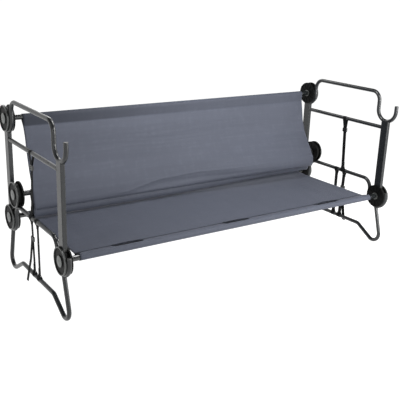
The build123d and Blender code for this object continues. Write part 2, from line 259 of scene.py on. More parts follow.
def studio_paper():
    """Seamless background, lit from behind like a light table."""
    material, tree = new_material("matt studio paper")
    return surface(material, mix(tree, noise(tree, 1.5), "#8c8c8b", "#929291"), 0.9, {
        "Specular IOR Level": 0.1, "Emission Color": colour("#ffffff"),
        "Emission Strength": 0.96})


floor_half = 200  # metres, so that its edge never shows
floor_mesh = bpy.data.meshes.new("floor")
floor_mesh.from_pydata([(x * floor_half, y * floor_half, 0)
                        for x, y in ((-1, -1), (1, -1), (1, 1), (-1, 1))], [], [(0, 1, 2, 3)])
floor = in_scene("floor", floor_mesh)
floor.data.materials.append(studio_paper())


def white_room():
    """A room with white walls and a dim ceiling. The wall behind the bench is the highest."""
    world = bpy.data.worlds.new("white room")
    world.use_nodes = True
    tree = world.node_tree
    tree.nodes.clear()
    apart = add_node(tree, "ShaderNodeSeparateXYZ", {0: add_node(tree, "ShaderNodeTexCoord")})
    wall = ramp(tree, apart.outputs["Y"], 0, 0.42, 0.5, 0.92)
    height = maths(tree, "SUBTRACT", apart.outputs["Z"], wall)
    strength = ramp(tree, height, 1, 0.1, 0.05, 0.4, interpolation_type="SMOOTHSTEP")
    room = add_node(tree, "ShaderNodeBackground", {
        "Color": colour("#ffffff"), "Strength": strength})
    add_node(tree, "ShaderNodeOutputWorld", {"Surface": room})
    return world


bpy.context.scene.world = white_room()
print("floor and white room ready")

# %% [markdown]
# ## Steel: powder coat
# The frames are bent steel tube with a dark powder coat. The powder melts into a satin skin
# with a very fine orange-peel surface, and on the rails the sleeves polish it. Noise on
# Object coordinates gives the peel, because a tube has no seam to hide a UV map's edge in.

# %% Powder-coated steel


def powder_coat():
    """Anthracite satin powder coat on steel."""
    material, tree = new_material("anthracite powder coat")
    clouds = noise(tree, 90 * mm, 3)
    # real peel is under 1 mm wide, drawn wider so that it catches the light
    peel = noise(tree, 3 * mm, 1)
    dust = noise(tree, 14 * mm, 4)
    tone = mix(tree, clouds, "#101214", "#181a1c")
    tone = mix(tree, ramp(tree, dust, 0, 0.2), tone, "#2a2d2e")
    return surface(material, tone, ramp(tree, dust, 0.22, 0.36), {
        "IOR": 1.48, "Normal": bump(tree, peel, 0.2 * mm, 0.3)})


def rail_coat():
    """The same coat on the rails, polished by the sleeves."""
    material, tree = new_material("polished powder coat")
    streaks = noise(tree, 5 * mm, 3, stretch=(0.05, 1, 1))
    tone = mix(tree, streaks, "#101213", "#1d1f20")
    return surface(material, tone, ramp(tree, streaks, 0.12, 0.26), {
        "IOR": 1.55, "Coat Weight": 0.4, "Coat Roughness": 0.1,
        "Normal": bump(tree, streaks, 0.12 * mm, 0.25)})


def dress(material, *words):
    """Give a material to every node whose name holds one of the words."""
    found = [o for name, o in nodes.items() if any(word in name for word in words)]
    for o in found:
        o.data.materials.clear()
        o.data.materials.append(material)
    print(f"{material.name}: {len(found)} nodes")


dress(rail_coat(), "rail_tube")
dress(powder_coat(), "hook_tube", "leg_tube", "post_left", "post_right", "cross_bar")

# %% [markdown]
# ## Moulded plastics
# The discs and their flanges are injection-moulded nylon, tough enough to carry a person.
# Steel moulds are spark-eroded, which leaves a fine grain, and glass fibre in the nylon
# greys the surface in faint flow lines. Caps, plugs and sliders are smoother plastics. What
# stands proud on a disc, its lip and its ribs, gets a painted grey highlight and a glossier
# finish, and the rest stays black. A number on each point of the discs says which it is.

# %% Nylon, ABS, polyethylene and acetal
highlight_depth = 1.6 * mm  # what lies this near to the highest face gets the painted highlight


def points_of(mesh):
    """The points of a mesh, one row each."""
    flat = np.empty(len(mesh.vertices) * 3, np.float32)
    mesh.vertices.foreach_get("co", flat)
    return flat.reshape(-1, 3)


def store(mesh, name, values):
    """Store a number on each point of a mesh."""
    mesh.attributes.new(name, "FLOAT", "POINT").data.foreach_set(
        "value", values.astype(np.float32))


def mark_painted_highlight(outermost, word):
    """Store 1 on the points of a disc's or flange's highest face, where a highlight is painted,
    and 0 on the others.
    """
    for name, node in nodes.items():
        if word not in name:
            continue
        out = np.abs(points_of(node.data)[:, 0])
        top = out.max() if outermost else out.min()
        painted_highlight = np.abs(out - top) < highlight_depth
        store(node.data, "painted_highlight", painted_highlight)
        print(f"{name}: {painted_highlight.sum()} of {len(painted_highlight)} points are rubbed")


def moulded(name, dark, light, rough, grain_depth):
    """Moulded plastic with a spark-eroded grain and faint flow marks."""
    material, tree = new_material(name)
    flow = noise(tree, 30 * mm, 4, stretch=(1, 1, 0.4))
    grain = noise(tree, 2 * mm)
    return surface(
        material, mix(tree, flow, dark, light), ramp(tree, grain, rough - 0.08, rough + 0.1),
        {"IOR": 1.53, "Normal": bump(tree, grain, grain_depth, 0.5)})


def glass_filled_nylon():
    """Black nylon with a grain, with a painted grey highlight and more gloss on its highest
    faces.
    """
    material, tree = new_material("glass-filled nylon")
    painted_highlight = stored(tree, "painted_highlight")
    flow = noise(tree, 30 * mm, 4)
    grain = noise(tree, 2.2 * mm)
    # painted highlight: the highest faces are greyed, patchily along the flow marks, and made
    # glossier
    patchy = maths(tree, "MULTIPLY", painted_highlight, ramp(tree, flow, 0.6, 1.1), use_clamp=True)
    tone = mix(tree, flow, "#070707", "#0f1010")
    tone = mix(tree, patchy, tone, "#404241")
    return surface(material, tone, ramp(tree, patchy, 0.5, 0.3), {
        "Specular IOR Level": ramp(tree, patchy, 0.08, 0.6),
        "Normal": bump(tree, grain, 0.2 * mm, 0.5)})


mark_painted_highlight(True, "_disc_")
mark_painted_highlight(False, "_inner_flanges")
dress(glass_filled_nylon(), "_disc_", "_inner_flanges")
dress(moulded("grey ABS", "#4c4f4e", "#5b5e5c", 0.38, 0.12 * mm), "_caps")
dress(moulded("black polyethylene", "#1a1b1b", "#262726", 0.5, 0.15 * mm),
      "hook_plugs", "post_saddles")
dress(moulded("black acetal", "#121313", "#1d1e1e", 0.3, 0.08 * mm), "strap_sliders")

# %% Bright steel inside the rails


def bright_steel(name, light, dark, rough):
    """Plated or tempered steel: metallic, with a faint mottle in its gloss."""
    material, tree = new_material(name)
    mottle = noise(tree, 6 * mm, 3)
    return surface(material, mix(tree, mottle, light, dark),
                   ramp(tree, mottle, rough - 0.06, rough + 0.08), {"Metallic": 1.0})


dress(bright_steel("zinc-plated steel", "#c9cbc9", "#aeb1b0", 0.3), "_button", "_coupler")
dress(bright_steel("tempered spring steel", "#8f9192", "#6e6d6a", 0.28), "_button_spring")

# %% [markdown]
# ## The springs
# A leaf spring inside each rail holds its button out. A rigid spring would be in the way of
# the pressed button. Here each spring's mesh is copied as it is into a piece of its own,
# and the rigid part is hidden.

# %% Copied springs
for rail in ("front_rail", "rear_rail", "top_rail", "mid_rail"):
    rigid = nodes[f"{rail}_button_spring"]
    leaf_mesh = rigid.data.copy()
    leaf_mesh.name = f"{rail}_leaf_spring"
    leaf = in_scene(leaf_mesh.name, leaf_mesh)
    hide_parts(rigid.name)
    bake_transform(leaf)

# %% [markdown]
# ## Cloth: coated polyester
# The slings are a heavy plain-weave polyester with a coating on the back. Thick and thin
# yarns make it slightly streaky along the bed, and the nap takes light at its edges. The
# weave has to follow the cloth, so it reads a UV map in metres along and across the sling.

# %% Woven polyester, thread and webbing
thread_pitch = 3 * mm  # real threads are 0.6 mm apart, drawn wider so that they show
rib_pitch = 4 * mm  # ribs of the webbing


def weave_height(tree, along, across, pitch):
    """Plain weave: crossed ribs that take turns to lie on top."""
    ribs = [maths(tree, "SINE", maths(tree, "MULTIPLY", way, 2 * math.pi / pitch))
            for way in (along, across)]
    return ramp(tree, maths(tree, "MULTIPLY", *ribs), 0, 1, lowest=-1)


def flat_weave(tree):
    """Coordinates on the cloth as it lies flat, and its weave."""
    flat = add_node(tree, "ShaderNodeUVMap", uv_map="flat")
    apart = add_node(tree, "ShaderNodeSeparateXYZ", {0: flat})
    return flat, weave_height(tree, apart.outputs[0], apart.outputs[1], thread_pitch)


def woven_polyester():
    """Slate blue-grey plain-weave polyester of about 600 denier."""
    material, tree = new_material("woven polyester")
    flat, weave = flat_weave(tree)
    warp = noise(tree, 14 * mm, 4, (0.05, 1, 1), flat)
    weft = noise(tree, 26 * mm, 4, (1, 0.4, 1), flat)
    clouds = noise(tree, 260 * mm, 3, place=flat)
    painted_sleeve_shade = stored(tree, "painted_sleeve_shade")
    yarn = ramp(tree, maths(tree, "ADD", warp, weft), -0.05, 0.5)
    tone = mix(tree, clouds, "#43464f", "#4b4e58")
    tone = mix(tree, yarn, tone, "#2f323b")
    # painted shade: the sleeve round the top rail is darkened, most of all at the left
    tone = mix(tree, painted_sleeve_shade, tone, "#1a1d24")
    return surface(material, tone, ramp(tree, weave, 0.72, 0.58), {
        "Specular IOR Level": 0.14, "Sheen Weight": 0.17, "Sheen Roughness": 0.5,
        "Sheen Tint": colour("#9b9fae"),
        "Normal": bump(tree, weave, 0.3 * mm, 0.45)})


def polyester_thread():
    """Sewing thread, a shade darker than the cloth and a little glossier."""
    material, tree = new_material("polyester thread")
    tone = mix(tree, noise(tree, 8 * mm), "#343843", "#404552")
    return surface(material, tone, 0.6, {"Specular IOR Level": 0.3})


def black_shade_strip():
    """Black woven polyester strips that paint the shade at the seat's seam, sleeve ends and
    slots.
    """
    material, tree = new_material("black polyester as painted shade")
    weave = flat_weave(tree)[1]
    tone = mix(tree, weave, "#08090b", "#121418")
    return surface(material, tone, 0.8, {
        "Specular IOR Level": 0.2, "Normal": bump(tree, weave, 0.3 * mm, 0.5)})


def webbing_weave():
    """Black polypropylene webbing, ribbed along and across."""
    material, tree = new_material("polypropylene webbing")
    weave = weave_height(tree, stored(tree, "along"), stored(tree, "across"), rib_pitch)
    fuzz = noise(tree, 12 * mm, 3)
    tone = mix(tree, weave, "#060607", "#0e0f11")
    tone = mix(tree, ramp(tree, fuzz, 0, 0.2), tone, "#17191b")
    return surface(material, tone, ramp(tree, weave, 0.8, 0.65), {
        "Specular IOR Level": 0.12, "Normal": bump(tree, weave, 0.5 * mm, 0.6)})


cloth_finish = woven_polyester()
thread_finish = polyester_thread()
shade_strip_finish = black_shade_strip()
webbing_finish = webbing_weave()
print("cloth, thread and webbing finishes ready")

# %% [markdown]
# ## How the slings are laid out
# Each sling is one rectangle of cloth. Its two long edges are turned round a rail and sewn
# back on themselves, so the cloth's section is a line that starts at one hem, goes round a
# rail, crosses to the other rail and ends at the other hem. Arcs and straights draw such a
# line exactly, and stacking it along the bed makes a sheet that can be laid flat again. A
# simulation could find the same shape, but it would blur the seams and the tight wraps.

# %% Lines in a section
cloth_t = 1.2 * mm
wrap_r = rail_r + 1.3 * mm + cloth_t / 2  # round a rail, with room to turn
seam_reach = 52 * mm  # rail centre to the seam
hem_tail = 12 * mm  # cloth beyond the seam, under the deck
layer_gap = 1.5 * mm  # between the two layers at a seam
strip_t = 0.7 * mm  # hems, facings and tapes


def polar(centre, radius, angle):
    """Point on a circle in the section, with its angle in degrees from +Y."""
    turn = math.radians(angle)
    return (centre[0] + radius * math.cos(turn), centre[1] + radius * math.sin(turn))


def arc(centre, radius, start, stop, step=12):
    """Points along an arc."""
    count = max(2, math.ceil(abs(stop - start) / step) + 1)
    return [polar(centre, radius, angle) for angle in np.linspace(start, stop, count)]


def row_lengths(line):
    """Length along a line at each of its points."""
    return np.concatenate([[0], np.cumsum(np.linalg.norm(np.diff(line, axis=0), axis=1))])


def spread(line, count):
    """The same line with a number of points at equal lengths."""
    lengths = row_lengths(line)
    places = np.linspace(0, lengths[-1], count)
    return np.column_stack([np.interp(places, lengths, part) for part in line.T])


def evenly(points, step):
    """The same line with a point every step."""
    line = np.array(points, float)
    return spread(line, max(2, round(row_lengths(line)[-1] / step) + 1))


def softened(line, passes):
    """The same line with its corners eased and its ends kept."""
    line = line.copy()
    for _ in range(passes):
        line[1:-1] = (line[:-2] + 2 * line[1:-1] + line[2:]) / 4
    return line


def sleeve(centre, heading, way):
    """Line of a sleeve from the hem at its seam, round the rail, and back to the seam."""
    open_half = math.degrees(math.acos(wrap_r / seam_reach))
    under = [polar(polar(centre, reach, heading), layer_gap, heading - way * 90)
             for reach in (seam_reach + hem_tail, seam_reach)]
    round_it = arc(centre, wrap_r, heading - way * open_half, heading - way * (360 - open_half))
    return [*under, *round_it, polar(centre, seam_reach, heading)]


print(f"a sleeve takes {2 * math.pi * wrap_r + 2 * seam_reach:.3f} m of cloth at most")

# %% [markdown]
# ## From section to sheet
# The section's line becomes a row of points, repeated in columns along the bed. A Solidify
# modifier gives the sheet its thickness. It is applied at once, so that the piece is a plain
# closed mesh with its place in its vertices.

# %% Sheet tools


def smooth(mesh):
    """Shade every face of a mesh smooth."""
    mesh.polygons.foreach_set("use_smooth", [True] * len(mesh.polygons))


def collect(name, mesh, material):
    """A new object at the origin, with its mesh smooth and its material set."""
    mesh.materials.append(material)
    smooth(mesh)
    return in_scene(name, mesh)


def apply_modifiers(piece):
    """Replace a piece's mesh with what its modifiers make."""
    graph = bpy.context.evaluated_depsgraph_get()
    made = bpy.data.meshes.new_from_object(
        piece.evaluated_get(graph), preserve_all_data_layers=True, depsgraph=graph)
    piece.modifiers.clear()
    old = piece.data
    piece.data = made
    bpy.data.meshes.remove(old)
    made.name = piece.name


def face_outwards(piece):
    """Drop loose points, and make the normals of a closed mesh point outwards."""
    work = bmesh.new()
    work.from_mesh(piece.data)
    loose = [v for v in work.verts if not v.link_faces]
    bmesh.ops.delete(work, geom=loose, context="VERTS")
    bmesh.ops.recalc_face_normals(work, faces=work.faces)
    work.to_mesh(piece.data)
    work.free()


def sheet_piece(name, grid, across, thickness, material, holes=()):
    """A sheet of cloth over a grid of points (columns, rows, 3), with slots left open."""
    columns, rows, _ = grid.shape
    faces = []
    flat = []
    for i in range(columns - 1):
        for j in range(rows - 1):
            if any(a <= i < b and c <= j < d for a, b, c, d in holes):
                continue
            first = i * rows + j
            faces.append((first, first + rows, first + rows + 1, first + 1))
            flat += [(grid[column, row, 0], across[row])
                     for column, row in ((i, j), (i + 1, j), (i + 1, j + 1), (i, j + 1))]
    mesh = bpy.data.meshes.new(name)
    mesh.from_pydata(grid.reshape(-1, 3).tolist(), [], faces)
    mesh.uv_layers.new(name="flat").data.foreach_set("uv", np.array(flat, np.float32).ravel())
    piece = collect(name, mesh, material)
    solid = piece.modifiers.new("thickness", "SOLIDIFY")
    solid.thickness = thickness
    solid.offset = 0
    apply_modifiers(piece)
    face_outwards(piece)
    return piece


def grid_normals(grid):
    """Unit normals of a grid of points, out of the side that a seam shows on."""
    normal = np.cross(np.gradient(grid, axis=0), np.gradient(grid, axis=1))
    return normal / np.linalg.norm(normal, axis=2, keepdims=True)


def on_sheet(grid, lengths, places, lift):
    """Grid of points at given lengths across a sheet, lifted off its middle surface."""
    raised = grid + grid_normals(grid) * lift
    rows = np.interp(places, lengths, np.arange(len(lengths)))
    below = np.floor(rows).astype(int).clip(0, len(lengths) - 2)
    part = (rows - below)[None, :, None]
    return raised[:, below] * (1 - part) + raised[:, below + 1] * part


def strip_pieces(name, grids, material, body):
    """Several strips of thin cloth, as one piece on a body."""
    parts = [sheet_piece(f"{name}_{k}", grid, row_lengths(grid[0]), strip_t, material)
             for k, grid in enumerate(grids)]
    work = bmesh.new()
    for part in parts:
        work.from_mesh(part.data)
    mesh = bpy.data.meshes.new(name)
    work.to_mesh(mesh)
    work.free()
    for part in parts:
        bpy.data.objects.remove(part)
    piece = collect(name, mesh, material)
    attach(piece, body)
    print(f"{name}: {len(grids)} strips")
    return piece


# %% [markdown]
# ## Repeats along a path
# Stitches and weld ripples are both small ovals, set one after another along a line. One
# Geometry Nodes tree makes both: it resamples a path, puts an oval on each point, turns it
# along the path and realises the copies, because instances don't survive an export. Its
# sizes are named inputs, so the same tree serves a thin stitch and a thick weld.

# %% Geometry Nodes: ovals along a path


def path_tree(name, sizes):
    """Start a tree with named inputs: a path, sizes in metres and a finish."""
    tree = bpy.data.node_groups.new(name, "GeometryNodeTree")
    sockets = tree.interface
    sockets.new_socket("Geometry", in_out="INPUT", socket_type="NodeSocketGeometry")
    for size, value in sizes.items():
        sockets.new_socket(size, in_out="INPUT",
                           socket_type="NodeSocketFloat").default_value = value
    sockets.new_socket("Finish", in_out="INPUT", socket_type="NodeSocketMaterial")
    sockets.new_socket("Geometry", in_out="OUTPUT", socket_type="NodeSocketGeometry")
    given = add_node(tree, "NodeGroupInput").outputs
    path = add_node(tree, "GeometryNodeMeshToCurve", {0: given["Geometry"]})
    out = add_node(tree, "GeometryNodeInputNamedAttribute", {"Name": "out"},
                   data_type="FLOAT_VECTOR")
    return tree, given, path, out


def end_tree(tree, given, made):
    """Realise what a tree has made, and give it the finish."""
    real = add_node(tree, "GeometryNodeRealizeInstances", {0: made})
    finished = add_node(tree, "GeometryNodeSetMaterial", {
        "Geometry": real, "Material": given["Finish"]})
    add_node(tree, "NodeGroupOutput", {0: finished})
    inputs = [item.name for item in tree.interface.items_tree if item.in_out == "INPUT"]
    print(f"{tree.name}: inputs {', '.join(inputs)}")
    return tree


def ovals_tree():
    """Ovals along a path: inputs Spacing, Length, Width, Height and Finish."""
    tree, given, path, out_of_cloth = path_tree("ovals along a path", {
        "Spacing": 5 * mm, "Length": 4 * mm, "Width": 1 * mm, "Height": 0.8 * mm})
    spaced = add_node(tree, "GeometryNodeResampleCurve", {
        "Curve": path, "Length": given["Spacing"]}, mode="LENGTH")
    turned = add_node(tree, "FunctionNodeAxesToRotation", {
        "Primary Axis": add_node(tree, "GeometryNodeInputTangent"),
        "Secondary Axis": out_of_cloth}, primary_axis="X", secondary_axis="Z")
    size = add_node(tree, "ShaderNodeCombineXYZ", {
        "X": given["Length"], "Y": given["Width"], "Z": given["Height"]})
    ball = add_node(tree, "GeometryNodeMeshIcoSphere", {"Radius": 0.5, "Subdivisions": 2})
    shaded = add_node(tree, "GeometryNodeSetShadeSmooth", {0: ball})
    copies = add_node(tree, "GeometryNodeInstanceOnPoints", {
        "Points": spaced, "Instance": shaded, "Rotation": turned, "Scale": size})
    return end_tree(tree, given, copies)


def run_tree(piece, tree, values):
    """Run a tree on a piece with named input values, and keep the result as a plain mesh."""
    modifier = piece.modifiers.new(tree.name, "NODES")
    modifier.node_group = tree
    for item in tree.interface.items_tree:
        if item.in_out == "INPUT" and item.name in values:
            modifier[item.identifier] = values[item.name]
    apply_modifiers(piece)
    print(f"{piece.name}: {len(piece.data.polygons)} faces")


def paths_piece(name, lines, outs):
    """An object of bare edges along lines, with the direction out of the surface stored."""
    points = np.concatenate(lines)
    edges = []
    start = 0
    for line in lines:
        edges += [(start + k, start + k + 1) for k in range(len(line) - 1)]
        start += len(line)
    mesh = bpy.data.meshes.new(name)
    mesh.from_pydata(points.tolist(), edges, [])
    attribute = mesh.attributes.new("out", "FLOAT_VECTOR", "POINT")
    attribute.data.foreach_set("vector", np.concatenate(outs).astype(np.float32).ravel())
    return in_scene(name, mesh)


ovals = ovals_tree()

# %% [markdown]
# ## The seat sling
# The seat is stretched tight between the front and rear rails. A seam runs along each rail,
# and the front seam is left open in three places, so that straps can reach the rail. The
# ends of the cloth are hemmed and curve in a little, because the pull is strongest along the
# seams. Slight ripples run from rail to rail.

# %% Seat sling: its section and its slots
sheet_step_x = 11 * mm
seat_front = sleeve((-rail_y, seat_z), 0, 1)
seat_rear = sleeve((rail_y, seat_z), 180, -1)[::-1]
seat_line = softened(evenly(seat_front + seat_rear, 5 * mm), 1)
seat_across = row_lengths(seat_line)
front_seam = seat_across[-1] / 2 - rail_y + seam_reach
front_seam_row = int(np.argmin(np.abs(seat_across - front_seam)))
rear_seam_row = len(seat_line) - 1 - front_seam_row
print(f"cut {seat_across[-1]:.3f} m wide, seams at rows {front_seam_row} and {rear_seam_row}")

slot_starts = (-762 * mm, -112 * mm, 545 * mm)
slot_length = 167 * mm
slot_droop = 14 * mm  # the slots' front lips aren't pulled, so they hang
slot_lift = 4.5 * mm  # and their rear lips curl up
lift_shares = (1, 0.6, 0.2)  # of the lift, in the rows from the seam on
slot_depth_rows = 5  # rows left open in front of the seam
droop_rows = 5  # rows in which the droop fades
end_sag = 6 * mm  # how far the ends curve in
corner_cut = 3 * mm  # cut-off corners of the deck
ripple_fade = 60 * mm  # how far from the seams the ripples reach their height
ripple_height = 1 * mm


def seat_edge(share):
    """How far the sling's ends are set in, by share of the deck."""
    from_seam = np.minimum(share, 1 - share) * 2 * (rail_y - seam_reach)
    corner = np.maximum(0, 1 - from_seam / (2 * corner_cut))
    edge = end_sag * np.sin(math.pi * share) + corner_cut * corner
    return np.where((share > 0) & (share < 1), edge, 0)


def share_between(lengths, first, last):
    """How far from one row to another each row is, as a share."""
    return (lengths - lengths[first]) / (lengths[last] - lengths[first])


def waves(x, y, table):
    """Sum of waves. Each has a height, radians per unit of x and of y, and a start."""
    return sum(height * np.sin(x * along + y * across + start)
               for height, along, across, start in table)


def seat_ripple(x, y):
    """Height of the deck's slight ripples, fading at the seams and growing to the ends."""
    inside = np.clip((rail_y - seam_reach - np.abs(y)) / ripple_fade, 0, 1)
    wave = waves(x, y, ((0.5, 17, 0, 1.1 * np.sin(y * 9)), (0.35, 41, 6, 0.8),
                        (0.25, 73, -11, 2.1)))
    towards_end = 0.35 + 0.9 * (np.abs(x) / sling_half) ** 4
    return inside * towards_end * wave * ripple_height


# %% Seat sling: the sheet
columns = round(2 * sling_half / sheet_step_x) + 1
seat_grid = np.zeros((columns, len(seat_line), 3))
half = sling_half - seat_edge(share_between(seat_across, front_seam_row, rear_seam_row))
seat_grid[:, :, 0] = np.linspace(-half, half, columns)
seat_grid[:, :, 1:] = seat_line
deck = seat_grid[:, front_seam_row:rear_seam_row + 1]
deck[:, :, 2] += seat_ripple(deck[:, :, 0], deck[:, :, 1])

lip_row = front_seam_row - slot_depth_rows
slots = []
for start in slot_starts:
    first = round((start + sling_half) / sheet_step_x)
    last = round((start + slot_length + sling_half) / sheet_step_x)
    slots.append((first, last, lip_row, front_seam_row))
    free = np.sin(np.linspace(0, math.pi, last - first + 1)) ** 0.2
    for row in range(lip_row - droop_rows, front_seam_row):
        hold = max(0, 1 - abs(row - lip_row) / droop_rows)
        seat_grid[first:last + 1, row, 2] -= slot_droop * free * hold
    for k, share in enumerate(lift_shares):
        seat_grid[first:last + 1, front_seam_row + k, 2] += slot_lift * free * share

seat_sling = sheet_piece("seat_sling_cloth", seat_grid, seat_across, cloth_t, cloth_finish,
                         slots)
print(f"{len(seat_sling.data.polygons)} faces, {len(slots)} slots")

# %% [markdown]
# ## The backrest sling
# The second sling hangs from the top rail, and its lower rail rests between the frames, so
# the cloth has slack. It slopes forward, turns under in a loose fold and comes up to the
# lower rail from below. The fold is wider at the right end than at the left, and that twist
# is what makes the soft shadow above the seat. The two end sections are listed point by
# point, and the sheet between them blends from one to the other.

# %% Backrest sling: its two end sections
mid_y, mid_z = mid_rail.yz
top_heading = 251.2  # the way the sleeve points from the top rail
# in mm from the lower rail's centre: the slope from the seam down to the fold's lip, and the
# fold, which tucks in under the lip, sags towards the seat and comes up to the other seam
slope_line = {
    "left": [(48, 282), (34, 200), (11, 110), (-14, 48), (-34, -20), (-42, -60), (-43, -79),
             (-38, -87)],
    "right": [(51, 275), (38, 208), (14, 145), (-22, 88), (-62, 30), (-92, -16), (-100, -38),
              (-94, -60), (-81, -72), (-68, -76)]}
fold_line = {
    "left": [(-29, -85), (-31, -92), (-35, -100), (-35, -112), (-31, -124), (-22, -133),
             (-8, -138), (6, -137), (14, -121), (8, -86)],
    "right": [(-57, -72), (-51, -77), (-50, -92), (-43, -104), (-26, -112), (-6, -109), (6, -88)]}
part_rows = (34, 150, 58, 34)  # upper sleeve, slope, fold, lower sleeve
part_passes = (0, 14, 3, 0)  # how often their corners are eased


def backrest_section(end):
    """Rows of the slack cloth's section at one end, from the hem above to the hem below."""
    top = sleeve(top_rail.yz, top_heading, -1)
    low = sleeve(mid_rail.yz, -90, 1)[::-1]
    slope, fold = ([(mid_y + y * mm, mid_z + z * mm) for y, z in line[end]]
                   for line in (slope_line, fold_line))
    rows = []
    for part, passes, count in zip(
            (top, [top[-1], *slope], [slope[-1], *fold, low[0]], low), part_passes, part_rows):
        line = softened(evenly(part, 2 * mm), passes)
        rows += list(spread(line, count + 1)[:-1])
    return softened(np.array(rows + [line[-1]]), 1)


backrest_lines = {end: backrest_section(end) for end in ends}
for end, line in backrest_lines.items():
    print(f"{end} end: cut {row_lengths(line)[-1]:.4f} m wide")
backrest_across = sum(row_lengths(line) for line in backrest_lines.values()) / 2
top_seam_row, lip_row_low, low_seam_row = (sum(part_rows[:k]) for k in (1, 2, 3))

# %% Backrest sling: the sheet
slack_inset = 1 * mm  # the slack cloth's ends hardly curve in
sight_fall = 0.396  # how fast the camera's line of sight falls towards the back
sight_y = 175 * mm  # where that line's height is measured
# x, and the height in sight at which the crease above the roll is seen
crease_seen = ((-0.42, -0.2, 0.05, 0.3, 0.95), (0.39, 0.435, 0.446, 0.434, 0.434))
crease_start = -0.5  # x at which the roll and its crease set in
crease_run = 0.2  # and the length they take to do so
crease_depth = 1.8  # mm
crease_half, crease_rise = 0.014, 0.01  # half width and place, shares of the slope
roll_height = ((-0.3, 0.3), (3.5, 7))  # x, and mm
roll_half, roll_place = 0.28, 0.4  # the same for the roll, shares of its room
roll_room = 0.14  # share of the slope that the roll needs to stand out fully
turn_start = -0.15  # x up to which the left end's section holds
turn_length = 0.85  # and how far on the right end's section is reached
lip_fade = 0.02  # share of the slope that stays smooth at its ends
shade_rise = 6 * mm  # height in which the painted shade on the sleeve sets in
shade_along = ((-0.95, 0.1), (0.8, 0.2))  # x, and how dark the painted shade is


def slack_waves(x, share):
    """Soft diagonal waves and creases of the slope, in mm, by share of the slope."""
    slack = np.sin(math.pi * np.clip(share, 0, 1)) ** 1.5
    low_down = np.exp(-((share - 0.75) / 0.25) ** 2)  # the slack gathers here
    wave = waves(x, share, ((0.6, 3.1, 4.2, 0.4), (0.5, 7.3, -6.5, 1.9), (0.35, 15.7, 9, 0.7)))
    creases = waves(x, share, ((0.5, 0, 68, 2.4 * np.sin(x * 4.3 + 0.5)),
                               (0.35, 0, 117, -3.1 * np.sin(x * 6.1 + 1.7))))
    patches = 0.5 + 0.5 * np.sin(x * 2.7 + 1.3 * np.sin(share * 8 + x * 1.9))
    return slack * ((1.2 + 2.4 * low_down) * wave + 0.8 * creases * patches)


def roll_over_lip(x, share, crease):
    """The roll above the lip, in mm, below a crease at a share of the slope."""
    room = 1 - crease
    there = np.clip((x - crease_start) / crease_run, 0, 1)
    grown = np.clip(room / roll_room, 0, 1) * there
    bulge = np.interp(x, *roll_height) * np.exp(
        -((share - crease - roll_place * room) / (roll_half * room + 0.004)) ** 2)
    dent = crease_depth * np.exp(-((share - crease + crease_rise) / crease_half) ** 2)
    return grown * bulge - there * dent


def paint_sleeve_shade(piece):
    """Store a painted shade on the cloth round the top rail, darkest at the left."""
    x, _, z = points_of(piece.data).T
    seam_z = backrest_lines["left"][top_seam_row, 1]
    store(piece.data, "painted_sleeve_shade",
          np.clip((z - seam_z) / shade_rise, 0, 1) * np.interp(x, *shade_along))


backrest_grid = np.zeros((columns, len(backrest_across), 3))
level_x = np.linspace(-sling_half, sling_half, columns)
turn_share = np.clip((level_x - turn_start) / turn_length, 0, 1)
blend_share = (turn_share ** 2 * (3 - 2 * turn_share))[:, None, None]
backrest_grid[:, :, 1:] = (backrest_lines["left"] * (1 - blend_share)
                           + backrest_lines["right"] * blend_share)
seam_to_seam = share_between(backrest_across, top_seam_row, low_seam_row).clip(0, 1)
half = sling_half - slack_inset * np.sin(math.pi * seam_to_seam)
backrest_grid[:, :, 0] = np.linspace(-half, half, columns)

slope_rows = slice(top_seam_row, lip_row_low + 1)
slope_x, slope_y, slope_z = np.moveaxis(backrest_grid[:, slope_rows], 2, 0)
slope_share = np.linspace(0, 1, part_rows[1] + 1)[None, :]
sight_z = slope_z + sight_fall * (slope_y - sight_y)
crease_z = np.interp(level_x, *crease_seen)
crease = (np.argmax(sight_z < crease_z[:, None], axis=1) / part_rows[1])[:, None]
lift = slack_waves(slope_x, slope_share) + roll_over_lip(slope_x, slope_share, crease)
lift *= np.clip((1 - slope_share) / lip_fade, 0, 1) * np.clip(slope_share / lip_fade, 0, 1)
backrest_grid[:, slope_rows] += grid_normals(backrest_grid)[:, slope_rows] * lift[:, :, None] * mm
backrest_sling = sheet_piece("backrest_sling_cloth", backrest_grid, backrest_across, cloth_t,
                             cloth_finish)
# paint a shade on the sleeve round the top rail
paint_sleeve_shade(backrest_sling)
print(f"{len(backrest_sling.data.polygons)} faces")

# %% [markdown]
# ## Seams and stitches
# A sleeve is closed by two rows of lockstitch, and each end of a sling by one row along its
# hem. A stitch that has been pulled tight is a short oval bead, sunk a little into the
# cloth. The lines are rows and columns of the sheets' own grids, so they lie on the cloth.

# %% Stitch lines
stitch = {"Spacing": 6 * mm, "Length": 4.6 * mm, "Width": 1.3 * mm, "Height": 0.8 * mm,
          "Finish": thread_finish}
side_hem = 20 * mm


def stitches(name, grid, rows, first, last, outwards, body):
    """One sling's stitches: rows along its seams, and a line in each end's hem."""
    normals = grid_normals(grid) * outwards
    face = grid + normals * cloth_t / 2
    inset = round(side_hem / sheet_step_x)
    cuts = [(slice(1, -1), row) for row in rows]
    cuts += [(column, slice(first, last)) for column in (inset, len(grid) - 1 - inset)]
    piece = paths_piece(name, [face[cut] for cut in cuts], [normals[cut] for cut in cuts])
    run_tree(piece, ovals, stitch)
    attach(piece, body)
    return piece


